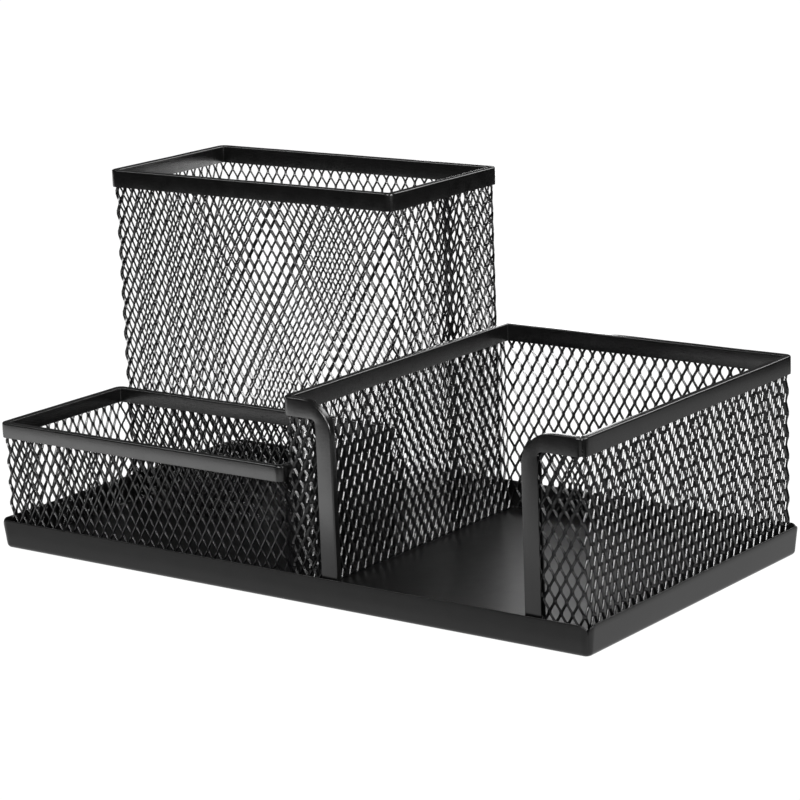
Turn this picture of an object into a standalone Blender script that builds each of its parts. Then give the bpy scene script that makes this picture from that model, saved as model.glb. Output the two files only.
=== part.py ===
"""Three-compartment desk organizer: expanded-metal walls with folded steel rims on a folded steel pan.

Metres, +Z up. Origin at the middle of the footprint, on the surface that the organizer stands on.
The pen cup stands at the back left, the clip tray at the front left, the memo bay on the right.
"""
from math import cos, pi, sin

import bmesh
import bpy
from mathutils import Vector

MM = 0.001

# Overall
LENGTH = 200.0 * MM            # along X
DEPTH = 106.0 * MM             # along Y, the front is at -Y
PAD_HEIGHT = 1.0 * MM          # anti-slip pads under the pan
GAP = 0.3 * MM                 # clearance between neighbouring pieces

# Base pan, one sheet with four flaps bent up
PAN_SHEET = 0.6 * MM
PAN_HEIGHT = 8.4 * MM
PAN_FLARE = 0.25 * MM          # how far each flap leans out from its bend to its top edge
PAN_BEND = 1.1 * MM            # outer bend radius
PAN_CORNER = 1.2 * MM          # rounding of each flap's upper corners
PAN_SLIT = 0.15 * MM           # from a flap's end to the corner's mitre plane

# Compartments, measured over the outer faces of their rims
INSET = 1.2 * MM               # pan's outer edge to a rim's outer face
CORNER = 2.4 * MM              # plan radius of a rim's outer face
DIVIDE_X = 4.4 * MM            # left face of the memo holder's rim
DIVIDE_Y = 0.2 * MM            # front face of the pen cup's rim
SIDE_GAP = 0.8 * MM            # between two compartments' rims
CUP_HEIGHT = 101.0 * MM        # these three are above the pan's underside
TRAY_HEIGHT = 36.7 * MM
MEMO_HEIGHT = 55.9 * MM
OPENING_LEFT = 20.8 * MM       # the memo holder's front opening, post to post
OPENING_RIGHT = 80.0 * MM

# Mesh walls and the U-channel strips folded over their edges
MESH = 0.8 * MM                # depth of the expanded metal
CHANNEL_WALL = 0.4 * MM
CHANNEL = MESH + 2 * (GAP + CHANNEL_WALL)
CUP_STRIP = 5.0 * MM           # how far each strip reaches from its outer edge
TRAY_STRIP = 4.3 * MM
MEMO_STRIP = 5.0 * MM
OPENING_RADIUS = 9.5 * MM      # the memo holder's opening corners, outer edge of the strip
CREASE_RADIUS = 1.5 * MM       # and its inner edge

# Anti-slip pads
PAD_RADIUS = 5.0 * MM
PAD_FROM_SIDE = 12.0 * MM

ARC_STEPS = 6                  # per quarter turn
PAD_STEPS = 32

FLOOR_TOP = PAD_HEIGHT + PAN_SHEET
WALL_FOOT = FLOOR_TOP + GAP


def steel(name, colour, roughness):
    """Powder-coated steel: a dull dielectric paint over the metal."""
    material = bpy.data.materials.new(name)
    material.use_nodes = True
    shader = material.node_tree.nodes["Principled BSDF"]
    shader.inputs["Base Color"].default_value = (*colour, 1.0)
    shader.inputs["Roughness"].default_value = roughness
    shader.inputs["Metallic"].default_value = 0.0
    return material


def finish(name, bm, material, smooth_angle=pi / 6):
    """Makes the named object from bm, with its faces pointing out and its round parts shaded smooth."""
    bmesh.ops.remove_doubles(bm, verts=bm.verts, dist=1e-7)
    bmesh.ops.recalc_face_normals(bm, faces=bm.faces)
    mesh = bpy.data.meshes.new(name)
    bm.to_mesh(mesh)
    bm.free()
    mesh.shade_smooth()
    mesh.set_sharp_from_angle(angle=smooth_angle)
    mesh.materials.append(material)
    obj = bpy.data.objects.new(name, mesh)
    bpy.context.scene.collection.objects.link(obj)
    return obj


def loft(bm, sections, closed):
    """Joins equal sections, each a ring of points, into a tube. An open tube gets end caps."""
    rings = [[bm.verts.new(point) for point in section] for section in sections]
    pairs = zip(rings, rings[1:] + rings[:1] if closed else rings[1:])
    for first, second in pairs:
        count = len(first)
        for i in range(count):
            j = (i + 1) % count
            bm.faces.new((first[i], first[j], second[j], second[i]))
    if not closed:
        bm.faces.new(rings[0])
        bm.faces.new(list(reversed(rings[-1])))


class WallPath:
    """A wall's centre line seen from above: straight runs joined by quarter turns to the right.

    corners are the sharp corners in order, clockwise. A closed path joins the last to the first.
    An open one starts and ends at its first and last points, which have no turn.
    """

    def __init__(self, points, radius, closed):
        self.closed = closed
        points = [Vector(p) for p in points]
        count = len(points)
        self.pieces = []
        self.length = 0.0
        if closed:
            starts = range(count)
        else:
            starts = range(count - 1)
        for i in starts:
            here, there = points[i], points[(i + 1) % count]
            run = there - here
            ahead = run.normalized()
            first = here + ahead * radius if closed or i > 0 else here
            last = there - ahead * radius if closed or i < count - 2 else there
            self._add("run", first, ahead, (last - first).length, radius)
            if closed or i < count - 2:
                self._add("turn", last, ahead, radius * pi / 2, radius)

    def _add(self, kind, start, ahead, length, radius):
        self.pieces.append((kind, self.length, start, ahead, length, radius))
        self.length += length

    def at(self, s):
        """The point at distance s along the path, and the outward normal there."""
        for kind, begin, start, ahead, length, radius in self.pieces:
            if s <= begin + length + 1e-9:
                break
        outward = Vector((-ahead.y, ahead.x))
        if kind == "run":
            return start + ahead * (s - begin), outward
        angle = (s - begin) / radius
        centre = start - outward * radius
        normal = outward * cos(angle) + ahead * sin(angle)
        return centre + normal * radius, normal

    def stations(self):
        """Distances along the path where its walls need an edge: run ends and steps round turns."""
        found = []
        for kind, begin, _, _, length, _ in self.pieces:
            steps = ARC_STEPS if kind == "turn" else 1
            found += [begin + length * k / steps for k in range(steps)]
        if not self.closed:
            found.append(self.length)
        return found

    def place(self, s, out, z):
        """The 3-D point at distance s, out metres outside the centre line, at height z."""
        point, normal = self.at(s)
        point = point + normal * out
        return (point.x, point.y, z)


def rectangle_path(x0, x1, y0, y1):
    """Centre line of a closed compartment whose rim's outer faces are at these coordinates."""
    inner = CHANNEL / 2
    x0, x1, y0, y1 = x0 + inner, x1 - inner, y0 + inner, y1 - inner
    corners = ((x0, y0), (x0, y1), (x1, y1), (x1, y0))
    return WallPath(corners, CORNER - inner, closed=True)


def memo_path():
    """Centre line of the memo holder: from the opening's left edge round the back to its right edge."""
    inner = CHANNEL / 2
    x0 = DIVIDE_X + inner
    x1 = LENGTH / 2 - INSET - inner
    y0 = -DEPTH / 2 + INSET + inner
    y1 = DEPTH / 2 - INSET - inner
    corners = ((OPENING_LEFT, y0), (x0, y0), (x0, y1), (x1, y1), (x1, y0), (OPENING_RIGHT, y0))
    return WallPath(corners, CORNER - inner, closed=False)


def mesh_section(path, s, top):
    """Cross-section of a mesh wall at distance s."""
    half = MESH / 2
    return [path.place(s, out, z) for out, z in
            ((half, WALL_FOOT), (half, top), (-half, top), (-half, WALL_FOOT))]


def channel_section(path, outer, inner, slot):
    """U-shaped section of a strip. Each argument is a point (s, z) on the strip's face."""
    half = CHANNEL / 2
    hollow = half - CHANNEL_WALL
    places = ((outer, half), (inner, half), (inner, hollow), (slot, hollow),
              (slot, -hollow), (inner, -hollow), (inner, -half), (outer, -half))
    return [path.place(s, out, z) for (s, z), out in places]


def closed_mesh(name, path, top, material):
    """Mesh wall of a compartment that is closed all round."""
    bm = bmesh.new()
    height = top - CHANNEL_WALL - GAP
    loft(bm, [mesh_section(path, s, height) for s in path.stations()], closed=True)
    return finish(name, bm, material)


def closed_rim(name, path, top, strip, material):
    """Strip folded over the top edge of a closed compartment."""
    bm = bmesh.new()
    sections = [channel_section(path, (s, top), (s, top - strip), (s, top - CHANNEL_WALL))
                for s in path.stations()]
    loft(bm, sections, closed=True)
    return finish(name, bm, material)


def memo_mesh(path, top, material):
    """Mesh wall of the memo holder: it stands open at the front, with rounded upper corners there."""
    bm = bmesh.new()
    edge = CHANNEL_WALL + GAP
    radius = OPENING_RADIUS - edge
    height = top - edge
    turn = [pi / 2 * k / ARC_STEPS for k in range(ARC_STEPS + 1)]
    rise = [(edge + radius * (1 - cos(a)), height - radius * (1 - sin(a))) for a in turn]
    inside = [s for s in path.stations() if rise[-1][0] < s < path.length - rise[-1][0]]
    fall = [(path.length - s, z) for s, z in reversed(rise)]
    outline = rise + [(s, height) for s in inside] + fall
    loft(bm, [mesh_section(path, s, z) for s, z in outline], closed=False)
    return finish("memo_holder_mesh", bm, material)


def memo_rim(path, top, material):
    """One strip: up the left post, round the memo holder's top edge and down the right post."""
    bm = bmesh.new()
    slot_radius = OPENING_RADIUS - CHANNEL_WALL
    crease = MEMO_STRIP + CREASE_RADIUS
    post = [((0.0, WALL_FOOT), (MEMO_STRIP, WALL_FOOT), (CHANNEL_WALL, WALL_FOOT))]
    for k in range(ARC_STEPS + 1):
        angle = pi / 2 * k / ARC_STEPS
        across, up = 1 - cos(angle), 1 - sin(angle)
        post.append(((OPENING_RADIUS * across, top - OPENING_RADIUS * up),
                     (crease - CREASE_RADIUS * cos(angle), top - crease + CREASE_RADIUS * sin(angle)),
                     (CHANNEL_WALL + slot_radius * across, top - CHANNEL_WALL - slot_radius * up)))
    far = [tuple((path.length - s, z) for s, z in section) for section in reversed(post)]
    inside = [s for s in path.stations() if OPENING_RADIUS < s < path.length - OPENING_RADIUS]
    level = [((s, top), (s, top - MEMO_STRIP), (s, top - CHANNEL_WALL)) for s in inside]
    sections = [channel_section(path, *section) for section in post + level + far]
    loft(bm, sections, closed=False)
    return finish("memo_holder_rim", bm, material)


def flap_profile(top):
    """A flap's section: (distance in from the pan's outer edge, height), outer side then inner side."""
    foot = PAN_FLARE + PAN_BEND
    inner_bend = PAN_BEND - PAN_SHEET
    outer, inner = [], []
    for k in range(ARC_STEPS + 1):
        angle = pi / 2 * k / ARC_STEPS
        outer.append((foot - PAN_BEND * sin(angle), PAN_BEND * (1 - cos(angle))))
        inner.append((foot - inner_bend * sin(angle), PAN_BEND - inner_bend * cos(angle)))
    lean = PAN_FLARE * (top - PAN_BEND) / (PAN_HEIGHT - PAN_BEND)
    outer.append((PAN_FLARE - lean, top))
    inner.append((PAN_FLARE - lean + PAN_SHEET, top))
    return outer + list(reversed(inner))


def base_pan(material):
    """Floor with four flaps bent up along its sides, mitred and slit at the corners."""
    bm = bmesh.new()
    half = Vector((LENGTH / 2, DEPTH / 2))
    sides = (("x", -1), ("y", 1), ("x", 1), ("y", -1))
    steps = range(ARC_STEPS // 2 + 1)
    rounding = [(PAN_CORNER * (1 - sin(pi / 2 * k / steps[-1])),
                 PAN_HEIGHT - PAN_CORNER * (1 - cos(pi / 2 * k / steps[-1]))) for k in steps]
    ends = list(reversed(rounding))
    floor_low, floor_high = [], []
    for axis, sign in sides:
        across, along = (half.x, half.y) if axis == "x" else (half.y, half.x)
        stations = [(-1, inset, top) for inset, top in ends] + [(1, inset, top) for inset, top in rounding]
        rings = []
        for end, inset, top in stations:
            ring = []
            for depth, z in flap_profile(top):
                outward = sign * (across - depth)
                sideways = sign * end * (along - depth - PAN_SLIT - inset)
                if axis == "x":
                    point = (outward, -sideways, z + PAD_HEIGHT)
                else:
                    point = (sideways, outward, z + PAD_HEIGHT)
                ring.append(bm.verts.new(point))
            rings.append(ring)
        count = len(rings[0])
        for first, second in zip(rings, rings[1:]):
            for i in range(count - 1):
                bm.faces.new((first[i], first[i + 1], second[i + 1], second[i]))
        bm.faces.new(rings[0])
        bm.faces.new(list(reversed(rings[-1])))
        floor_low.append([ring[0] for ring in rings])
        floor_high.append([ring[-1] for ring in rings])
    bm.faces.new([v for row in floor_low for v in row])
    bm.faces.new([v for row in reversed(floor_high) for v in reversed(row)])
    for side in range(4):
        last, first = side, (side + 1) % 4
        bm.faces.new((floor_low[last][-1], floor_low[first][0], floor_high[first][0], floor_high[last][-1]))
    return finish("base_pan", bm, material)


def foot_pad(name, x, y, material):
    """Round stick-on pad under the pan. A gap above it keeps its solid apart from the pan's."""
    bm = bmesh.new()
    bmesh.ops.create_cone(bm, cap_ends=True, segments=PAD_STEPS, radius1=PAD_RADIUS,
                          radius2=PAD_RADIUS * 0.96, depth=PAD_HEIGHT - GAP)
    bmesh.ops.translate(bm, verts=bm.verts, vec=(x, y, (PAD_HEIGHT - GAP) / 2))
    return finish(name, bm, material)


def build():
    for old in list(bpy.data.objects):
        bpy.data.objects.remove(old)
    coated = steel("black_powder_coat", (0.014, 0.014, 0.015), 0.42)
    strip_coat = steel("black_powder_coat_strips", (0.018, 0.018, 0.019), 0.38)
    mesh_coat = steel("black_powder_coat_mesh", (0.010, 0.010, 0.011), 0.33)
    rubber = steel("anti_slip_rubber", (0.03, 0.03, 0.03), 0.9)

    left = -LENGTH / 2 + INSET
    front, back = -DEPTH / 2 + INSET, DEPTH / 2 - INSET
    right_of_left_half = DIVIDE_X - SIDE_GAP
    cup = rectangle_path(left, right_of_left_half, DIVIDE_Y, back)
    tray = rectangle_path(left, right_of_left_half, front, DIVIDE_Y - SIDE_GAP)
    memo = memo_path()

    base_pan(coated)
    closed_mesh("pen_cup_mesh", cup, PAD_HEIGHT + CUP_HEIGHT, mesh_coat)
    closed_rim("pen_cup_rim", cup, PAD_HEIGHT + CUP_HEIGHT, CUP_STRIP, strip_coat)
    closed_mesh("clip_tray_mesh", tray, PAD_HEIGHT + TRAY_HEIGHT, mesh_coat)
    closed_rim("clip_tray_rim", tray, PAD_HEIGHT + TRAY_HEIGHT, TRAY_STRIP, strip_coat)
    memo_mesh(memo, PAD_HEIGHT + MEMO_HEIGHT, mesh_coat)
    memo_rim(memo, PAD_HEIGHT + MEMO_HEIGHT, strip_coat)

    pad_x = LENGTH / 2 - PAD_FROM_SIDE
    pad_y = DEPTH / 2 - PAD_FROM_SIDE
    for y, row in ((-pad_y, "front"), (pad_y, "back")):
        for x, end in ((-pad_x, "left"), (pad_x, "right")):
            foot_pad(f"anti_slip_pad_{row}_{end}", x, y, rubber)


build()
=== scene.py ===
from math import cos, exp, pi, radians, sin

import bmesh
import bpy
import numpy as np
from mathutils import Matrix, Vector, noise


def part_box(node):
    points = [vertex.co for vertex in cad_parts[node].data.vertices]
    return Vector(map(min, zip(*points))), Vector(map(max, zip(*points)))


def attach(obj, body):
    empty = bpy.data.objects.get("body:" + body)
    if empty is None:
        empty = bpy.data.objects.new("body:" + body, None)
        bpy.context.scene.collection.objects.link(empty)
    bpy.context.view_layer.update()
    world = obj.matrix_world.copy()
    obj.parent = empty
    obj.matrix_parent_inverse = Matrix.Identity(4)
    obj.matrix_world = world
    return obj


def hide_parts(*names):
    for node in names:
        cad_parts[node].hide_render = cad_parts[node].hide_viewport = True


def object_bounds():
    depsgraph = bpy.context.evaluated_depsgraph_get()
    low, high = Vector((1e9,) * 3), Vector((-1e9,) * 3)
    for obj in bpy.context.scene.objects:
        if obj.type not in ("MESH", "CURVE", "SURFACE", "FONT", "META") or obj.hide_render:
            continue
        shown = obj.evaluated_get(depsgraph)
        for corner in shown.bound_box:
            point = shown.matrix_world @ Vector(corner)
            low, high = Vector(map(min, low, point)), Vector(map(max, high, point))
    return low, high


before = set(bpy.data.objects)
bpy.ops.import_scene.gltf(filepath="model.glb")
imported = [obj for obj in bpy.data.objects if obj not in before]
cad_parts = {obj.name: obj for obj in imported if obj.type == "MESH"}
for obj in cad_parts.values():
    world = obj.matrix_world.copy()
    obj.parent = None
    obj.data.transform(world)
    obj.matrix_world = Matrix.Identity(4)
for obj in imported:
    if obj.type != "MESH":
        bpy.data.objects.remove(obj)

cad_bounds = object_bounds()

MM = 0.001

# ---------------------------------------------------------------- sizes that the frame's boxes don't give

CHANNEL = 2.2 * MM             # strip's width over its two legs
STRIP_WALL = 0.45 * MM         # a strip's sheet
CORNER = 2.4 * MM              # plan radius of a strip's outer face
MEMO_STRIP = 5.0 * MM          # how far each strip reaches from its fold
CUP_STRIP = 5.0 * MM
TRAY_STRIP = 4.3 * MM
OPENING_LEFT = 20.8 * MM       # the memo holder's front opening, post to post
OPENING_RIGHT = 80.0 * MM
OPENING_RADIUS = 9.5 * MM      # its corners, at the strip's fold
CREASE_RADIUS = 1.5 * MM       # and at the strip's edge
MESH_INSET = 0.7 * MM          # from the strip's fold to the mesh's edge
CUP_SEAM_Y = 27.5 * MM         # y of the place on its right wall where the pen cup's two ends meet
STRIP_ROUND = 0.5 * MM         # where a strip folds over the mesh
CRIMP = 0.05 * MM              # how far a strip's edges are pressed in to grip the mesh
CRIMP_HEIGHT = 0.8 * MM
BUTT_GAP = 0.18 * MM           # between a strip's two ends
STRIP_STEP = 2.5 * MM          # between its cross-sections
PINCHES = (                    # at the memo holder's two front corners: corner, depth, half length, dip
    (0, 0.3 * MM, 0.6 * MM, 0.2 * MM),
    (3, 0.65 * MM, 0.42 * MM, 0.45 * MM),
)
PAN_SHEET = 0.6 * MM
PAN_BEND = 1.4 * MM            # outer radius of the bend along a flap's foot
PAN_FLARE = 0.7 * MM           # how far a flap leans out
PAN_PLAN_RADIUS = 2.8 * MM     # of the corners seen from above
PAN_CORNER = 2.3 * MM          # radius of a flap's upper corners
PAN_RIM = 0.5 * MM             # flat border of the floor along the bend
SEAM_DEPTH = 0.18 * MM         # of the groove where two flaps meet
SEAM_WIDTH = 0.16 * MM

# Expanded metal: diamonds stand on their points
CELL_WIDTH = 3.45 * MM
CELL_HEIGHT = 6.02 * MM
STRAND_WIDTH = 0.46 * MM
STRAND_THICKNESS = 0.50 * MM
# Each basket's share of that section and its tilt, set by trial to the photograph's light and dark
STRAND_GAUGE = {"pen_cup": 1.0, "clip_tray": 1.04, "memo_holder": 1.25}
STRAND_TILT = {"pen_cup": radians(-35), "clip_tray": radians(-23), "memo_holder": radians(-35)}
SQUARE = ((1, 1), (1, -1), (0, -1), (0, 1))    # a strand's section: (share of its width, side)
ARCHED = ((1, 1), (1, -1), (0.5, -1.2), (0, -1), (0, 1), (0.5, 1.2))
SHARP_STRAND = 60              # degrees between faces that stay sharp
SHARP_STRIP = 50
SHARP_PAN = 35
BOND = 0.24 * MM               # half the height of the bond where two strands meet
EASE = 0.32 * MM               # stretch over which a strand bends away from its bond
EASE_SHARE = 0.08              # share of its sideways travel made in that stretch
SELVAGE = 0.6 * MM             # solid border along the memo holder's foot
LAP_HALF_CELLS = 3             # how far a closed wall's two ends lap
LAP_SPREAD = 0.38 * MM         # how much wider the strands are pressed there
LAP_SHIFT = 0.33 * MM          # how far each end moves in or out to pass the other
LAP_FLATTEN = 0.4              # share of its depth that each end loses

# Unevenness of the folded sheets: (waves per metre, height)
STRIP_WOBBLE = (60, 0.07 * MM)
STRIP_RIPPLE = (140, 0.03 * MM)
FLAP_BOW = (28, 0.10 * MM)
FLAP_WOBBLE = (45, 0.06 * MM)
SEAM_CALM = 6 * MM             # the bow dies out over this distance from a seam


# ---------------------------------------------------------------- wall paths

class WallPath:
    """A wall's centre line seen from above: straight runs joined by quarter turns to the right."""

    def __init__(self, corners, radius, closed):
        self.closed = closed
        points = [Vector(c) for c in corners]
        count = len(points)
        self.pieces = []
        self.turns = []
        self.length = 0.0
        for i in range(count if closed else count - 1):
            here, there = points[i], points[(i + 1) % count]
            ahead = (there - here).normalized()
            turns_after = closed or i < count - 2
            first = here + ahead * radius if closed or i > 0 else here
            last = there - ahead * radius if turns_after else there
            self.add("run", first, ahead, (last - first).length, radius)
            if turns_after:
                self.turns.append(self.length + radius * pi / 4)
                self.add("turn", last, ahead, radius * pi / 2, radius)

    def add(self, kind, start, ahead, length, radius):
        self.pieces.append((kind, self.length, start, ahead, length, radius))
        self.length += length

    def at(self, s):
        """The points at distances s, an array, and the outward normals there."""
        s = np.asarray(s, float)
        s = s % self.length if self.closed else np.clip(s, 0.0, self.length)
        point = np.zeros(s.shape + (2,))
        normal = np.zeros(s.shape + (2,))
        for kind, begin, start, ahead, length, radius in self.pieces:
            here = (s >= begin - 1e-9) & (s <= begin + length + 1e-9)
            along = s[here] - begin
            outward = np.array((-ahead.y, ahead.x))
            start, ahead = np.array(start), np.array(ahead)
            if kind == "run":
                point[here] = start + along[:, None] * ahead
                normal[here] = outward
            else:
                angle = (along / radius)[:, None]
                normal[here] = outward * np.cos(angle) + ahead * np.sin(angle)
                point[here] = start - outward * radius + normal[here] * radius
        return point, normal

    def place(self, s, out, z):
        """3-D points at distances s, out metres outside the centre line, at heights z."""
        point, normal = self.at(s)
        flat = point + normal * np.asarray(out)[..., None]
        return np.concatenate([flat, np.asarray(z)[..., None]], axis=-1)

    def run(self, index):
        """Start and end distances of the straight run with this index."""
        _, begin, _, _, length, _ = [p for p in self.pieces if p[0] == "run"][index]
        return begin, begin + length

    def stations(self, step, turn_steps):
        """Distances at most step apart on the runs, with turn_steps to each quarter turn."""
        found = []
        for kind, begin, _, _, length, _ in self.pieces:
            count = turn_steps if kind == "turn" else max(1, round(length / step))
            found += [begin + length * k / count for k in range(count)]
        if not self.closed:
            found.append(self.length)
        return found


def rim_path(node):
    """Centre line of the closed wall whose rim is this node."""
    low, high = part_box(node)
    half = CHANNEL / 2
    x0, x1, y0, y1 = low.x + half, high.x - half, low.y + half, high.y - half
    return WallPath(((x0, y0), (x0, y1), (x1, y1), (x1, y0)), CORNER - half, closed=True)


def memo_path():
    """Centre line of the memo holder's wall, from the opening's left edge round the back to its right."""
    low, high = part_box("memo_holder_rim")
    half = CHANNEL / 2
    x0, x1, y0, y1 = low.x + half, high.x - half, low.y + half, high.y - half
    corners = ((OPENING_LEFT, y0), (x0, y0), (x0, y1), (x1, y1), (x1, y0), (OPENING_RIGHT, y0))
    return WallPath(corners, CORNER - half, closed=False)


# ---------------------------------------------------------------- mesh helpers

def mesh_object(name, verts, faces, material):
    mesh = bpy.data.meshes.new(name)
    mesh.from_pydata(verts, [], faces)
    mesh.materials.append(material)
    obj = bpy.data.objects.new(name, mesh)
    bpy.context.scene.collection.objects.link(obj)
    return obj


def loft(rings, closed):
    """Vertices and faces of a tube through equal rings of points, capped unless it is closed."""
    rings = [np.asarray(r) for r in rings]
    count, size = len(rings), len(rings[0])
    faces = []
    for i in range(count if closed else count - 1):
        a, b = i * size, (i + 1) % count * size
        faces += [(a + k, a + (k + 1) % size, b + (k + 1) % size, b + k) for k in range(size)]
    if not closed:
        faces.append(tuple(range(size)))
        faces.append(tuple(reversed(range((count - 1) * size, count * size))))
    return np.concatenate(rings), faces


def point_out(obj):
    """Turns the faces of each closed shell outwards."""
    bm = bmesh.new()
    bm.from_mesh(obj.data)
    bmesh.ops.recalc_face_normals(bm, faces=bm.faces)
    bm.to_mesh(obj.data)
    bm.free()


def smooth(obj, angle):
    obj.data.shade_smooth()
    obj.data.set_sharp_from_angle(angle=radians(angle))


# ---------------------------------------------------------------- expanded metal

def strand_table(low, high, first_left):
    """One strand's centre from low to high: heights, and sideways share from 0, left bond, to 1, right bond.

    first_left is a height where the strand sits at its left bond.
    """
    half = CELL_HEIGHT / 2
    heights, shares = [], []
    start = int(np.floor((low - first_left) / half)) - 1
    stop = int(np.ceil((high - first_left) / half)) + 1
    for k in range(start, stop + 1):
        centre = first_left + k * half
        side = k % 2
        toward = 1 - 2 * side
        for dz, share in ((-BOND - EASE, EASE_SHARE), (-BOND, 0.0), (BOND, 0.0), (BOND + EASE, EASE_SHARE)):
            heights.append(centre + dz)
            shares.append(side + toward * share)
    heights, shares = np.array(heights), np.array(shares)
    inside = (heights > low + 1e-6) & (heights < high - 1e-6)
    ends = np.array((low, high))
    z = np.concatenate([ends[:1], heights[inside], ends[1:]])
    return z, np.interp(z, heights, shares)


def expanded_metal(name, path, low, high_at, start, length, count, shape=None):
    """Expanded metal along path: count strands from distance start over length, from low up to high_at(s).

    Each zigzag strand is a tilted bar that meets its neighbours edge to edge at the bonds. shape(s), if
    given, returns the share of the full depth, the shift outwards and the press at distance s from start.
    """
    pitch = length / count
    basket = next(key for key in STRAND_GAUGE if name.startswith(key))
    gauge = STRAND_GAUGE[basket]
    tilt = STRAND_TILT[basket]
    edge = np.array((cos(tilt), sin(tilt))) * STRAND_WIDTH * gauge
    thick = np.array((-sin(tilt), cos(tilt))) * STRAND_THICKNESS * gauge / 2
    corners = SQUARE if basket == "pen_cup" else ARCHED
    size = len(corners)
    points, quads, caps = [], [], []
    made = 0
    for j in range(count):
        left = j * pitch
        high = float(high_at(start + left + pitch / 2))
        z, share = strand_table(low, high, low + (j % 2) * CELL_HEIGHT / 2)
        near = np.stack([left + share * (pitch - edge[0]), -share * edge[1]], axis=-1)
        rows = []
        for across, side in corners:
            flat = near + across * edge + side * thick
            depth = flat[:, 1]
            if shape:
                scale, shift, press = shape(flat[:, 0])
                depth = depth * scale + shift
                flat[:, 0] += (across - 0.5) * LAP_SPREAD * press
            rows.append(path.place(start + flat[:, 0], depth, z))
        ring = np.stack(rows, axis=1)
        n = len(z)
        index = made + np.arange(n * size).reshape(n, size)
        for k in range(size):
            m = (k + 1) % size
            quads.append(np.stack([index[:-1, k], index[:-1, m], index[1:, m], index[1:, k]], axis=1))
        for end in (index[0], index[-1][::-1]):
            caps += [end] if size == 4 else [end[[0, 1, 2, 5]], end[2:]]
        points.append(ring.reshape(-1, 3))
        made += n * size
    points = np.concatenate(points)
    quads = np.concatenate(quads + [np.array(caps)])
    _, first, where = np.unique(np.round(points / 1e-7).astype(np.int64), axis=0,
                                return_index=True, return_inverse=True)
    quads = where.reshape(-1)[quads]
    _, place, times = np.unique(np.sort(quads, axis=1), axis=0, return_inverse=True, return_counts=True)
    quads = quads[times[place.reshape(-1)] == 1]
    return points[first], quads


def border(path, low):
    """Solid selvage along the foot of an open wall."""
    half = STRAND_THICKNESS / 2
    ring = ((half, low), (half, low + SELVAGE), (-half, low + SELVAGE), (-half, low))
    outs, heights = [r[0] for r in ring], [r[1] for r in ring]
    return loft([path.place(np.full(4, s), outs, heights) for s in path.stations(20 * MM, 6)], closed=False)


def mesh_wall(name, node, path, high_at, material, seam=None, selvage=False):
    """Replaces a CAD wall with expanded metal. A closed wall's two ends lap at distance seam."""
    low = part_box(node)[0].z
    if seam is None:
        points, quads = expanded_metal(name, path, low, high_at, 0.0, path.length,
                                       round(2 * path.length / CELL_WIDTH))
    else:
        # an odd number of half cells round the wall, so that one end's bonds cover the other end's holes
        around = 2 * round(path.length / CELL_WIDTH) + 1
        half_cell = path.length / around
        lap = LAP_HALF_CELLS * half_cell
        total = path.length + lap

        def shape(s):
            """Flattened, pressed wider and moved in or out where the two ends lap."""
            near_start = np.clip((lap + 2 * half_cell - s) / (2 * half_cell), 0, 1)
            near_end = np.clip((s - (total - lap - 2 * half_cell)) / (2 * half_cell), 0, 1)
            press = near_start + near_end
            return 1 - LAP_FLATTEN * press, LAP_SHIFT * (near_end - near_start), press

        points, quads = expanded_metal(name, path, low, high_at, seam - lap / 2, total,
                                       around + LAP_HALF_CELLS, shape)
    faces = [tuple(q) for q in quads]
    if selvage:
        foot, foot_faces = border(path, low)
        faces += [tuple(i + len(points) for i in f) for f in foot_faces]
        points = np.concatenate([points, foot])
    obj = mesh_object(name, points, faces, material)
    point_out(obj)
    smooth(obj, SHARP_STRAND)
    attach(obj, "root")
    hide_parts(node)
    return obj


# ---------------------------------------------------------------- strips

def strip_profile(height):
    """Section of a strip: (distance outwards, share of its height down from the fold), as a closed ring."""
    half = CHANNEL / 2
    hollow = half - STRIP_WALL
    bend = [radians(a) for a in range(0, 91, 15)]
    leg = [(half - CRIMP, height), (half, height - CRIMP_HEIGHT)]
    leg += [(half - STRIP_ROUND * (1 - cos(a)), STRIP_ROUND * (1 - sin(a))) for a in bend]
    inside = [(hollow, STRIP_WALL), (hollow, height - CRIMP_HEIGHT), (hollow - CRIMP, height)]
    ring = leg + [(-out, down) for out, down in reversed(leg)]
    ring += [(-out, down) for out, down in reversed(inside)] + inside
    return np.array([(out, down / height) for out, down in ring])


def ruffle(point, wave):
    """Height of a smooth random wave at a point."""
    scale, height = wave
    return height * noise.noise(Vector(point) * scale)


def dent(s, centre, width):
    return exp(-((s - centre) / width) ** 2)


def fold_strip(path, profile, s, fold, edge, pinches):
    """Ring of a strip at s: fold and edge are its upper and lower (s, z). Pinches dent it at corners."""
    fold, edge = np.array(fold), np.array(edge)
    where = fold + profile[:, 1:2] * (edge - fold)
    middle = path.place(np.array([where[0, 0]]), np.zeros(1), np.array([fold[1]]))[0]
    wobble, ripple = ruffle(middle, STRIP_WOBBLE), ruffle(middle, STRIP_RIPPLE)
    out, height = profile[:, 0].copy(), where[:, 1] + wobble
    for centre, depth, width, dip in pinches:
        share = dent(s, centre, width)
        out -= depth * share * (out > 0)
        height -= dip * share * (1 - profile[:, 1])
    return path.place(where[:, 0], out + ripple, height)


def rim(name, node, path, strip, material, seam):
    """Replaces a closed rim with a strip whose ends meet at distance seam."""
    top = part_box(node)[1].z
    profile = strip_profile(strip)
    stations = path.stations(STRIP_STEP, 12)
    around = [seam + BUTT_GAP / 2] + [s for s in stations if s > seam + BUTT_GAP]
    around += [s + path.length for s in stations if s < seam - BUTT_GAP]
    around += [seam + path.length - BUTT_GAP / 2]
    rings = [fold_strip(path, profile, s % path.length, (s, top), (s, top - strip), ()) for s in around]
    return finish_strip(name, node, rings, material)


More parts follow.
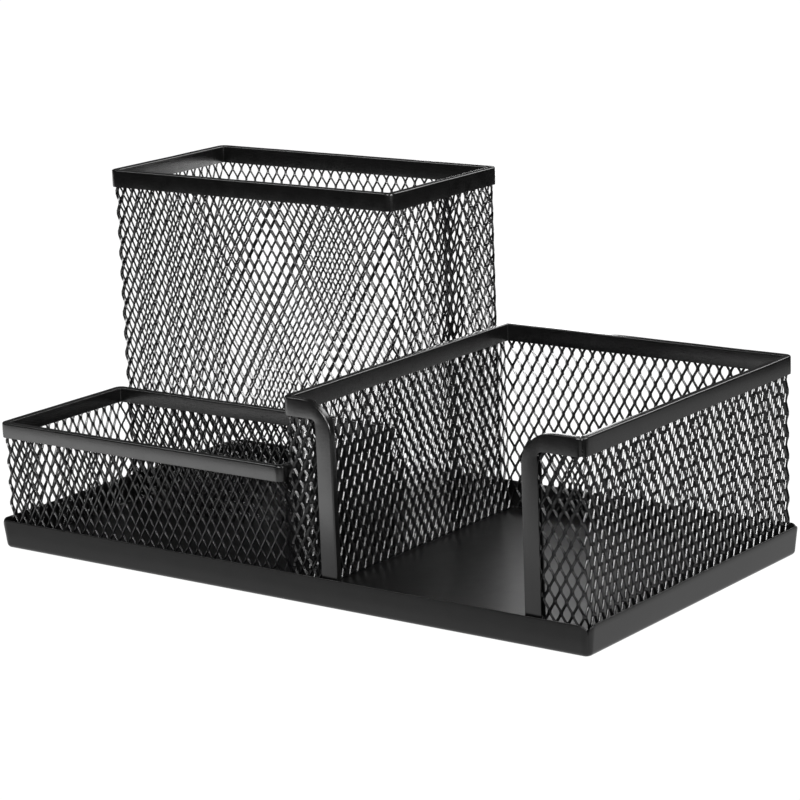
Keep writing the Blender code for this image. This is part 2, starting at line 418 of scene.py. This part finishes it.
def memo_rim(name, node, path, material):
    """Replaces the memo holder's rim: up the left post, round the top edge and down the right post."""
    low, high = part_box(node)
    top, foot = high.z, low.z
    profile = strip_profile(MEMO_STRIP)
    pinches = [(path.turns[corner], depth, width, dip) for corner, depth, width, dip in PINCHES]
    crease = MEMO_STRIP + CREASE_RADIUS
    post = [((0.0, z), (MEMO_STRIP, z)) for z in np.linspace(foot, top - OPENING_RADIUS - 1 * MM, 14)]
    for a in np.linspace(0, pi / 2, 14):
        across, up = 1 - cos(a), 1 - sin(a)
        post.append(((OPENING_RADIUS * across, top - OPENING_RADIUS * up),
                     (crease - CREASE_RADIUS * cos(a), top - crease + CREASE_RADIUS * sin(a))))
    far = [tuple((path.length - s, z) for s, z in section) for section in reversed(post)]
    inside = [s for s in path.stations(STRIP_STEP, 12) if OPENING_RADIUS < s < path.length - OPENING_RADIUS]
    sections = post + [((s, top), (s, top - MEMO_STRIP)) for s in inside] + far
    rings = [fold_strip(path, profile, fold[0], fold, edge, pinches) for fold, edge in sections]
    return finish_strip(name, node, rings, material)


def finish_strip(name, node, rings, material):
    verts, faces = loft(rings, closed=False)
    obj = mesh_object(name, verts, faces, material)
    point_out(obj)
    smooth(obj, SHARP_STRIP)
    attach(obj, "root")
    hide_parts(node)
    return obj


# ---------------------------------------------------------------- pan

def flap_section(top):
    """A flap's section from its underside, round the bend, over the top edge and down to the floor's top."""
    foot = PAN_FLARE + PAN_BEND
    inner = PAN_BEND - PAN_SHEET
    half = PAN_SHEET / 2
    turn = [radians(a) for a in range(0, 91, 15)]
    edge = [radians(a) for a in range(0, 181, 30)]
    rise = np.linspace(0, 1, 6)[1:-1]
    ring = [(-foot - PAN_RIM, 0.0)]
    ring += [(-foot + PAN_BEND * sin(a), PAN_BEND * (1 - cos(a))) for a in turn]
    ring += [(-PAN_FLARE * (1 - t), PAN_BEND + (top - half - PAN_BEND) * t) for t in rise]
    ring += [(-half + half * cos(a), top - half + half * sin(a)) for a in edge]
    ring += [(-PAN_SHEET - PAN_FLARE * (1 - t), PAN_BEND + (top - half - PAN_BEND) * t)
             for t in reversed(rise)]
    ring += [(-foot + inner * sin(a), PAN_BEND - inner * cos(a)) for a in reversed(turn)]
    ring += [(-foot - PAN_RIM, PAN_SHEET)]
    return np.array(ring)


def corner_dip(distance):
    """How far a flap's rounded end drops at this distance from the seam between two flaps."""
    reach = min(abs(distance) / PAN_CORNER, 1.0)
    return PAN_CORNER * (1 - (1 - (1 - reach) ** 2) ** 0.5)


def pan_body(name, node, material):
    """Replaces the CAD pan: one pressed sheet whose four flaps meet in a filled seam at each corner."""
    low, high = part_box(node)
    corners = ((low.x, low.y), (low.x, high.y), (high.x, high.y), (high.x, low.y))
    path = WallPath(corners, PAN_PLAN_RADIUS, closed=True)
    near = [0.0] + [sign * PAN_CORNER * t for t in (0.06, 0.15, 0.3, 0.5, 0.75, 1.0) for sign in (-1, 1)]
    stations = set(path.stations(4 * MM, 10)) | {turn + d for turn in path.turns for d in near}
    rings = []
    for s in sorted(stations):
        distance = min((s - turn for turn in path.turns), key=abs)
        section = flap_section(high.z - low.z - corner_dip(distance))
        out, z = section[:, 0].copy(), section[:, 1].copy()
        on_flap = np.clip((z - PAN_BEND) / (1 * MM), 0, 1)
        middle = path.place(np.array([s]), np.zeros(1), np.zeros(1))[0]
        out -= SEAM_DEPTH * dent(distance, 0, SEAM_WIDTH) * on_flap * (out > -PAN_SHEET * 0.9)
        out += ruffle(middle, FLAP_BOW) * on_flap * min(1, abs(distance) / SEAM_CALM)
        z += ruffle(middle, FLAP_WOBBLE) * on_flap
        rings.append(path.place(np.full(len(z), s), out, z + low.z))
    verts, faces = loft(rings, closed=True)
    size = len(rings[0])
    faces = [f for i, f in enumerate(faces) if i % size != size - 1]
    faces.append(tuple(i * size for i in range(len(rings))))
    faces.append(tuple(i * size + size - 1 for i in reversed(range(len(rings)))))
    obj = mesh_object(name, verts, faces, material)
    point_out(obj)
    smooth(obj, SHARP_PAN)
    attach(obj, "root")
    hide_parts(node)
    return obj


# ---------------------------------------------------------------- materials

def nodes_of(material):
    material.use_nodes = True
    tree = material.node_tree
    return tree, tree.nodes["Principled BSDF"]


def powder_coat(name, colour, roughness, grain, wave, ior=1.5, uneven=0.055):
    """Black powder coat: fine orange peel, slow waviness of the sheet under it, and uneven gloss."""
    material = bpy.data.materials.new(name)
    tree, shader = nodes_of(material)
    new, link = tree.nodes.new, tree.links.new
    shader.inputs["Metallic"].default_value = 0.0
    shader.inputs["IOR"].default_value = ior
    coords = new("ShaderNodeTexCoord")

    peel = new("ShaderNodeTexNoise")
    peel.inputs["Scale"].default_value = 1500
    peel.inputs["Detail"].default_value = 2
    slow = new("ShaderNodeTexNoise")
    slow.inputs["Scale"].default_value = 55
    slow.inputs["Detail"].default_value = 1
    patch = new("ShaderNodeTexNoise")
    patch.inputs["Scale"].default_value = 240
    patch.inputs["Detail"].default_value = 5
    for node in (peel, slow, patch):
        link(coords.outputs["Object"], node.inputs["Vector"])

    tone = new("ShaderNodeMapRange")
    tone.inputs["From Min"].default_value = 0.3
    tone.inputs["From Max"].default_value = 0.7
    tone.inputs["To Min"].default_value = 0.75
    tone.inputs["To Max"].default_value = 1.3
    link(patch.outputs["Fac"], tone.inputs["Value"])
    tint = new("ShaderNodeMix")
    tint.data_type = "RGBA"
    tint.blend_type = "MULTIPLY"
    tint.inputs["Factor"].default_value = 1.0
    tint.inputs["A"].default_value = (*colour, 1)
    link(tone.outputs["Result"], tint.inputs["B"])
    link(tint.outputs["Result"], shader.inputs["Base Color"])

    gloss = new("ShaderNodeMapRange")
    gloss.inputs["From Min"].default_value = 0.3
    gloss.inputs["From Max"].default_value = 0.7
    gloss.inputs["To Min"].default_value = roughness - uneven
    gloss.inputs["To Max"].default_value = roughness + uneven
    link(patch.outputs["Fac"], gloss.inputs["Value"])
    link(gloss.outputs["Result"], shader.inputs["Roughness"])

    fine = new("ShaderNodeBump")
    fine.inputs["Strength"].default_value = grain
    fine.inputs["Distance"].default_value = 0.04 * MM
    link(peel.outputs["Fac"], fine.inputs["Height"])
    broad = new("ShaderNodeBump")
    broad.inputs["Strength"].default_value = wave
    broad.inputs["Distance"].default_value = 0.8 * MM
    link(slow.outputs["Fac"], broad.inputs["Height"])
    link(fine.outputs["Normal"], broad.inputs["Normal"])
    link(broad.outputs["Normal"], shader.inputs["Normal"])
    return material


mesh_coat = powder_coat("mesh_coat_paint", (0.003, 0.003, 0.0032), 0.20, 0.2, 0.0, ior=1.5)
strip_coat = powder_coat("strip_coat_paint", (0.003, 0.003, 0.003), 0.24, 0.25, 0.03, ior=1.58, uneven=0.02)
pan_coat = powder_coat("pan_coat_paint", (0.003, 0.003, 0.003), 0.34, 0.15, 0.03, ior=1.37, uneven=0.015)
pad_rubber = powder_coat("pad_rubber_paint", (0.02, 0.02, 0.02), 0.75, 0.4, 0.0)


# ---------------------------------------------------------------- walls

def level(height):
    return lambda s: height


cup = rim_path("pen_cup_rim")
tray = rim_path("clip_tray_rim")
memo = memo_path()

RIGHT_RUN = 2                  # the right wall's place among a closed path's runs
cup_seam = cup.run(RIGHT_RUN)[1] - (CUP_SEAM_Y - (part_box("pen_cup_rim")[0].y + CORNER))
tray_seam = sum(tray.run(RIGHT_RUN)) / 2
cup_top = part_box("pen_cup_mesh")[1].z
tray_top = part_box("clip_tray_mesh")[1].z
memo_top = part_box("memo_holder_mesh")[1].z


def memo_outline(s):
    """Upper edge of the memo holder's mesh, which rounds down at both ends."""
    radius = OPENING_RADIUS - MESH_INSET
    t = min(s, memo.length - s) - MESH_INSET
    if t >= radius:
        return memo_top
    t = max(t, 0.0)
    return memo_top - radius + (radius ** 2 - (radius - t) ** 2) ** 0.5


mesh_wall("pen_cup_expanded_metal", "pen_cup_mesh", cup, level(cup_top), mesh_coat, cup_seam)
mesh_wall("clip_tray_expanded_metal", "clip_tray_mesh", tray, level(tray_top), mesh_coat, tray_seam)
mesh_wall("memo_holder_expanded_metal", "memo_holder_mesh", memo, memo_outline, mesh_coat, selvage=True)

rim("pen_cup_strip", "pen_cup_rim", cup, CUP_STRIP, strip_coat, cup_seam)
rim("clip_tray_strip", "clip_tray_rim", tray, TRAY_STRIP, strip_coat, tray_seam)
memo_rim("memo_holder_strip", "memo_holder_rim", memo, strip_coat)

pan_body("base_pan_sheet", "base_pan", pan_coat)

for name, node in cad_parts.items():
    if name.startswith("anti_slip_pad"):
        node.data.materials.clear()
        node.data.materials.append(pad_rubber)


# ---------------------------------------------------------------- studio

def studio():
    low, high = cad_bounds
    centre = (low + high) / 2

    def sheet(name, size, location, colour, glow):
        bpy.ops.mesh.primitive_plane_add(size=1, location=location)
        obj = bpy.context.object
        obj.name = name
        obj.scale = (*size, 1)
        material = bpy.data.materials.new(name + "_paint")
        tree, shader = nodes_of(material)
        shader.inputs["Base Color"].default_value = (*colour, 1)
        shader.inputs["Roughness"].default_value = 0.9
        shader.inputs["Specular IOR Level"].default_value = 0.0
        shader.inputs["Emission Color"].default_value = (1, 1, 1, 1)
        shader.inputs["Emission Strength"].default_value = glow
        obj.data.materials.append(material)
        return obj

    sheet("studio_floor", (8, 8), (0, 0, low.z - 0.1 * MM), (0.05, 0.05, 0.05), 1.02)
    # the camera doesn't see these sheets, dark or glowing: they are painted reflections that the coats
    # mirror from below, the dark ones painted shade and the glowing ones painted light
    for name, size, place, glow in (("front_flag", (6.4, 3.8), (-0.8, -2.093), 0.0),
                                    ("right_flag", (3.8, 4.2), (2.03, 1.82), 0.0),
                                    ("right_glow", (0.2, 0.36), (0.235, 0.08), 0.5),
                                    ("near_flag", (0.24, 0.05), (0.0, -0.082), 0.75),
                                    ("left_glow", (0.24, 0.085), (-0.14, -0.15), 2.6)):
        raised = low.z + (2 * MM if glow else 1 * MM)
        unseen = sheet(name, size, (*place, raised), (0.01, 0.01, 0.01), glow)
        unseen.visible_camera = False

    world = bpy.data.worlds.new("studio_world")
    bpy.context.scene.world = world
    world.use_nodes = True
    background = world.node_tree.nodes["Background"]
    background.inputs["Color"].default_value = (1, 1, 1, 1)
    background.inputs["Strength"].default_value = 0.03

    def softbox(name, azimuth, elevation, distance, size, radiance):
        """Area light aimed at the object. Azimuth 0 is in front, 90 to the right."""
        a, e = radians(azimuth), radians(elevation)
        place = centre + Vector((sin(a) * cos(e), -cos(a) * cos(e), sin(e))) * distance
        light = bpy.data.lights.new(name, "AREA")
        light.shape = "RECTANGLE"
        light.size, light.size_y = size
        light.energy = radiance * pi * size[0] * size[1]
        obj = bpy.data.objects.new(name, light)
        obj.location = place
        obj.rotation_euler = (centre - place).to_track_quat("-Z", "Y").to_euler()
        obj.visible_camera = False
        bpy.context.scene.collection.objects.link(obj)

    softbox("front_softbox", 24, 31, 1.0, (0.42, 0.3), 22)
    softbox("right_softbox", 75.2, 18.6, 0.559, (0.22, 0.055), 54)
    softbox("high_right_softbox", 81.5, 48.0, 0.43, (0.06, 0.13), 30)
    softbox("left_softbox", -68, 51, 1.0, (0.3, 0.3), 6)
    softbox("back_softbox", 163, 36, 1.0, (0.4, 0.3), 6)
    softbox("backdrop", -143, 14, 1.5, (2.2, 0.9), 0.05)
    softbox("low_kicker", -163, 14, 0.125, (0.06, 0.05), 5)


def camera():
    """At the photograph's viewing angle: from the front right, a little above, rolled slightly."""
    azimuth, elevation, roll = radians(37.1), radians(13.45), radians(-2.18)
    distance, focal = 823 * MM, 134.6
    low, high = cad_bounds
    target = Vector((4.48 * MM, 0, low.z + 44.75 * MM))
    back = Vector((sin(azimuth) * cos(elevation), -cos(azimuth) * cos(elevation), sin(elevation)))
    right = Vector((cos(azimuth), sin(azimuth), 0))
    up = back.cross(right)
    turned_right = right * cos(roll) + up * sin(roll)
    turned_up = up * cos(roll) - right * sin(roll)
    data = bpy.data.cameras.new("camera")
    data.lens = focal
    data.sensor_width = 36
    data.clip_start, data.clip_end = 0.01, 20
    obj = bpy.data.objects.new("camera", data)
    axes = Matrix((turned_right, turned_up, back)).transposed()
    obj.matrix_world = Matrix.Translation(target + back * distance) @ axes.to_4x4()
    bpy.context.scene.collection.objects.link(obj)
    bpy.context.scene.camera = obj


studio()
camera()
bpy.context.scene.view_settings.view_transform = "Standard"
